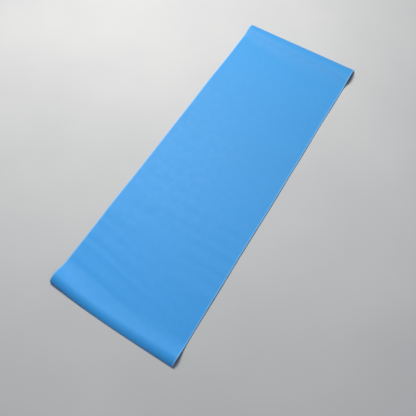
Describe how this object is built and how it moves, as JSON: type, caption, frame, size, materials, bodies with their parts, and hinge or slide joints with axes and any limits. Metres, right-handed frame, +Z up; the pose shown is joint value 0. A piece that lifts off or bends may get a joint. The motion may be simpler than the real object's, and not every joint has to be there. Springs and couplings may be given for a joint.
{
  "type": "stretching mat",
  "caption": "Thin foam mat for floor stretching, laid out flat with both short ends still curled down from being kept rolled up.",
  "frame": {"origin": "on the floor, under the middle of the mat's outline as it lies", "axes": "+Y along the mat's length, from the more tightly curled near end to the far end; +X across its width; +Z up from the floor"},
  "size_m": [0.61, 1.7102, 0.024],
  "materials": {
    "upper_foam": "matte closed-cell foam skin, sky blue, faint grain",
    "base_foam": "matte closed-cell foam with a moulded anti-slip grain, slightly deeper blue, over a polyester mesh"
  },
  "bodies": {
    "near_curl_1": {"top_coat_1": "upper_foam", "base_coat_1": "base_foam"},
    "near_curl_2": {"top_coat_2": "upper_foam", "base_coat_2": "base_foam"},
    "near_curl_3": {"top_coat_3": "upper_foam", "base_coat_3": "base_foam"},
    "near_curl_4": {"top_coat_4": "upper_foam", "base_coat_4": "base_foam"},
    "near_curl_5": {"top_coat_5": "upper_foam", "base_coat_5": "base_foam"},
    "winding_1": {"top_coat_6": "upper_foam", "base_coat_6": "base_foam"},
    "winding_2": {"top_coat_7": "upper_foam", "base_coat_7": "base_foam"},
    "winding_3": {"top_coat_8": "upper_foam", "base_coat_8": "base_foam"},
    "winding_4": {"top_coat_9": "upper_foam", "base_coat_9": "base_foam"},
    "winding_5": {"top_coat_10": "upper_foam", "base_coat_10": "base_foam"},
    "winding_6": {"top_coat_11": "upper_foam", "base_coat_11": "base_foam"},
    "winding_7": {"top_coat_12": "upper_foam", "base_coat_12": "base_foam"},
    "winding_8": {"top_coat_13": "upper_foam", "base_coat_13": "base_foam"},
    "winding_9": {"top_coat_14": "upper_foam", "base_coat_14": "base_foam"},
    "winding_10": {"top_coat_15": "upper_foam", "base_coat_15": "base_foam"},
    "winding_11": {"top_coat_16": "upper_foam", "base_coat_16": "base_foam"},
    "winding_12": {"top_coat_17": "upper_foam", "base_coat_17": "base_foam"},
    "winding_13": {"top_coat_18": "upper_foam", "base_coat_18": "base_foam"},
    "winding_14": {"top_coat_19": "upper_foam", "base_coat_19": "base_foam"},
    "winding_15": {"top_coat_20": "upper_foam", "base_coat_20": "base_foam"},
    "winding_16": {"top_coat_21": "upper_foam", "base_coat_21": "base_foam"},
    "winding_17": {"top_coat_22": "upper_foam", "base_coat_22": "base_foam"},
    "winding_18": {"top_coat_23": "upper_foam", "base_coat_23": "base_foam"},
    "winding_19": {"top_coat_24": "upper_foam", "base_coat_24": "base_foam"},
    "winding_20": {"top_coat_25": "upper_foam", "base_coat_25": "base_foam"},
    "winding_21": {"top_coat_26": "upper_foam", "base_coat_26": "base_foam"},
    "floor_section": {"top_coat_27": "upper_foam", "base_coat_27": "base_foam"},
    "far_curl_1": {"top_coat_28": "upper_foam", "base_coat_28": "base_foam"},
    "far_curl_2": {"top_coat_29": "upper_foam", "base_coat_29": "base_foam"},
    "far_curl_3": {"top_coat_30": "upper_foam", "base_coat_30": "base_foam"}
  },
  "joints": [
    {"name": "roll_up", "type": "hinge", "parent": "floor_section", "child": "winding_21", "pos_m": [0, 0.59585, 0.004], "axis": [-1, 0, 0], "range_deg": [0, 45], "stiffness_Nm_per_rad": 0.05},
    {"name": "roll_bend_25", "type": "hinge", "parent": "winding_21", "child": "winding_20", "pos_m": [0, 0.51793, 0.004], "axis": [-1, 0, 0], "range_deg": [0, 45.05], "stiffness_Nm_per_rad": 0.05},
    {"name": "roll_bend_24", "type": "hinge", "parent": "winding_20", "child": "winding_19", "pos_m": [0, 0.44143, 0.004], "axis": [-1, 0, 0], "range_deg": [0, 45.05], "stiffness_Nm_per_rad": 0.05},
    {"name": "roll_bend_23", "type": "hinge", "parent": "winding_19", "child": "winding_18", "pos_m": [0, 0.36636, 0.004], "axis": [-1, 0, 0], "range_deg": [0, 45.05], "stiffness_Nm_per_rad": 0.05},
    {"name": "roll_bend_22", "type": "hinge", "parent": "winding_18", "child": "winding_17", "pos_m": [0, 0.29272, 0.004], "axis": [-1, 0, 0], "range_deg": [0, 45.05], "stiffness_Nm_per_rad": 0.05},
    {"name": "roll_bend_21", "type": "hinge", "parent": "winding_17", "child": "winding_16", "pos_m": [0, 0.2205, 0.004], "axis": [-1, 0, 0], "range_deg": [0, 45.05], "stiffness_Nm_per_rad": 0.05},
    {"name": "roll_bend_20", "type": "hinge", "parent": "winding_16", "child": "winding_15", "pos_m": [0, 0.14972, 0.004], "axis": [-1, 0, 0], "range_deg": [0, 45.05], "stiffness_Nm_per_rad": 0.05},
    {"name": "roll_bend_19", "type": "hinge", "parent": "winding_15", "child": "winding_14", "pos_m": [0, 0.08037, 0.004], "axis": [-1, 0, 0], "range_deg": [0, 45.05], "stiffness_Nm_per_rad": 0.05},
    {"name": "roll_bend_18", "type": "hinge", "parent": "winding_14", "child": "winding_13", "pos_m": [0, 0.01244, 0.004], "axis": [-1, 0, 0], "range_deg": [0, 45.05], "stiffness_Nm_per_rad": 0.05},
    {"name": "roll_bend_17", "type": "hinge", "parent": "winding_13", "child": "winding_12", "pos_m": [0, -0.05406, 0.004], "axis": [-1, 0, 0], "range_deg": [0, 45.05], "stiffness_Nm_per_rad": 0.05},
    {"name": "roll_bend_16", "type": "hinge", "parent": "winding_12", "child": "winding_11", "pos_m": [0, -0.11913, 0.004], "axis": [-1, 0, 0], "range_deg": [0, 45.05], "stiffness_Nm_per_rad": 0.05},
    {"name": "roll_bend_15", "type": "hinge", "parent": "winding_11", "child": "winding_10", "pos_m": [0, -0.18277, 0.004], "axis": [-1, 0, 0], "range_deg": [0, 45.05], "stiffness_Nm_per_rad": 0.05},
    {"name": "roll_bend_14", "type": "hinge", "parent": "winding_10", "child": "winding_9", "pos_m": [0, -0.24498, 0.004], "axis": [-1, 0, 0], "range_deg": [0, 45.05], "stiffness_Nm_per_rad": 0.05},
    {"name": "roll_bend_13", "type": "hinge", "parent": "winding_9", "child": "winding_8", "pos_m": [0, -0.30577, 0.004], "axis": [-1, 0, 0], "range_deg": [0, 45.05], "stiffness_Nm_per_rad": 0.05},
    {"name": "roll_bend_12", "type": "hinge", "parent": "winding_8", "child": "winding_7", "pos_m": [0, -0.36512, 0.004], "axis": [-1, 0, 0], "range_deg": [0, 45.05], "stiffness_Nm_per_rad": 0.05},
    {"name": "roll_bend_11", "type": "hinge", "parent": "winding_7", "child": "winding_6", "pos_m": [0, -0.42305, 0.004], "axis": [-1, 0, 0], "range_deg": [0, 45.05], "stiffness_Nm_per_rad": 0.05},
    {"name": "roll_bend_10", "type": "hinge", "parent": "winding_6", "child": "winding_5", "pos_m": [0, -0.47955, 0.004], "axis": [-1, 0, 0], "range_deg": [0, 45.05], "stiffness_Nm_per_rad": 0.05},
    {"name": "roll_bend_9", "type": "hinge", "parent": "winding_5", "child": "winding_4", "pos_m": [0, -0.53462, 0.004], "axis": [-1, 0, 0], "range_deg": [0, 45.05], "stiffness_Nm_per_rad": 0.05},
    {"name": "roll_bend_8", "type": "hinge", "parent": "winding_4", "child": "winding_3", "pos_m": [0, -0.58826, 0.004], "axis": [-1, 0, 0], "range_deg": [0, 45.05], "stiffness_Nm_per_rad": 0.05},
    {"name": "roll_bend_7", "type": "hinge", "parent": "winding_3", "child": "winding_2", "pos_m": [0, -0.64047, 0.004], "axis": [-1, 0, 0], "range_deg": [0, 45.05], "stiffness_Nm_per_rad": 0.05},
    {"name": "roll_bend_6", "type": "hinge", "parent": "winding_2", "child": "winding_1", "pos_m": [0, -0.69126, 0.004], "axis": [-1, 0, 0], "range_deg": [0, 45.05], "stiffness_Nm_per_rad": 0.05},
    {"name": "roll_bend_5", "type": "hinge", "parent": "winding_1", "child": "near_curl_5", "pos_m": [0, -0.74061, 0.004], "axis": [-1, 0, 0], "range_deg": [0, 31.05], "stiffness_Nm_per_rad": 0.05},
    {"name": "roll_bend_4", "type": "hinge", "parent": "near_curl_5", "child": "near_curl_4", "pos_m": [0, -0.76597, 0.00678], "axis": [-1, 0, 0], "range_deg": [0, 20.05], "stiffness_Nm_per_rad": 0.05},
    {"name": "roll_bend_3", "type": "hinge", "parent": "near_curl_4", "child": "near_curl_3", "pos_m": [0, -0.79012, 0.01499], "axis": [-1, 0, 0], "range_deg": [0, 29.05], "stiffness_Nm_per_rad": 0.05},
    {"name": "roll_bend_2", "type": "hinge", "parent": "near_curl_3", "child": "near_curl_2", "pos_m": [0, -0.81392, 0.02376], "axis": [-1, 0, 0], "range_deg": [0, 65.05], "stiffness_Nm_per_rad": 0.05},
    {"name": "roll_bend_1", "type": "hinge", "parent": "near_curl_2", "child": "near_curl_1", "pos_m": [0, -0.83872, 0.01924], "axis": [-1, 0, 0], "range_deg": [0, 68.05], "stiffness_Nm_per_rad": 0.05},
    {"name": "lift_far_end", "type": "hinge", "parent": "floor_section", "child": "far_curl_1", "pos_m": [0, 0.73585, 0.004], "axis": [1, 0, 0], "range_deg": [0, 16], "stiffness_Nm_per_rad": 0.05},
    {"name": "far_bend_2", "type": "hinge", "parent": "far_curl_1", "child": "far_curl_2", "pos_m": [0, 0.77688, 0.01143], "axis": [1, 0, 0], "range_deg": [0, 24.05], "stiffness_Nm_per_rad": 0.05},
    {"name": "far_bend_3", "type": "hinge", "parent": "far_curl_2", "child": "far_curl_3", "pos_m": [0, 0.81742, 0.01966], "axis": [1, 0, 0], "range_deg": [0, 62.05], "stiffness_Nm_per_rad": 0.05}
  ],
  "couplings": [
    {"joint": "roll_bend_25", "follows": "roll_up", "ratio": 1},
    {"joint": "roll_bend_24", "follows": "roll_up", "ratio": 1},
    {"joint": "roll_bend_23", "follows": "roll_up", "ratio": 1},
    {"joint": "roll_bend_22", "follows": "roll_up", "ratio": 1},
    {"joint": "roll_bend_21", "follows": "roll_up", "ratio": 1},
    {"joint": "roll_bend_20", "follows": "roll_up", "ratio": 1},
    {"joint": "roll_bend_19", "follows": "roll_up", "ratio": 1},
    {"joint": "roll_bend_18", "follows": "roll_up", "ratio": 1},
    {"joint": "roll_bend_17", "follows": "roll_up", "ratio": 1},
    {"joint": "roll_bend_16", "follows": "roll_up", "ratio": 1},
    {"joint": "roll_bend_15", "follows": "roll_up", "ratio": 1},
    {"joint": "roll_bend_14", "follows": "roll_up", "ratio": 1},
    {"joint": "roll_bend_13", "follows": "roll_up", "ratio": 1},
    {"joint": "roll_bend_12", "follows": "roll_up", "ratio": 1},
    {"joint": "roll_bend_11", "follows": "roll_up", "ratio": 1},
    {"joint": "roll_bend_10", "follows": "roll_up", "ratio": 1},
    {"joint": "roll_bend_9", "follows": "roll_up", "ratio": 1},
    {"joint": "roll_bend_8", "follows": "roll_up", "ratio": 1},
    {"joint": "roll_bend_7", "follows": "roll_up", "ratio": 1},
    {"joint": "roll_bend_6", "follows": "roll_up", "ratio": 1},
    {"joint": "roll_bend_5", "follows": "roll_up", "ratio": 0.6889},
    {"joint": "roll_bend_4", "follows": "roll_up", "ratio": 0.4444},
    {"joint": "roll_bend_3", "follows": "roll_up", "ratio": 0.6444},
    {"joint": "roll_bend_2", "follows": "roll_up", "ratio": 1.4444},
    {"joint": "roll_bend_1", "follows": "roll_up", "ratio": 1.5111},
    {"joint": "far_bend_2", "follows": "lift_far_end", "ratio": 1.5},
    {"joint": "far_bend_3", "follows": "lift_far_end", "ratio": 3.875}
  ]
}
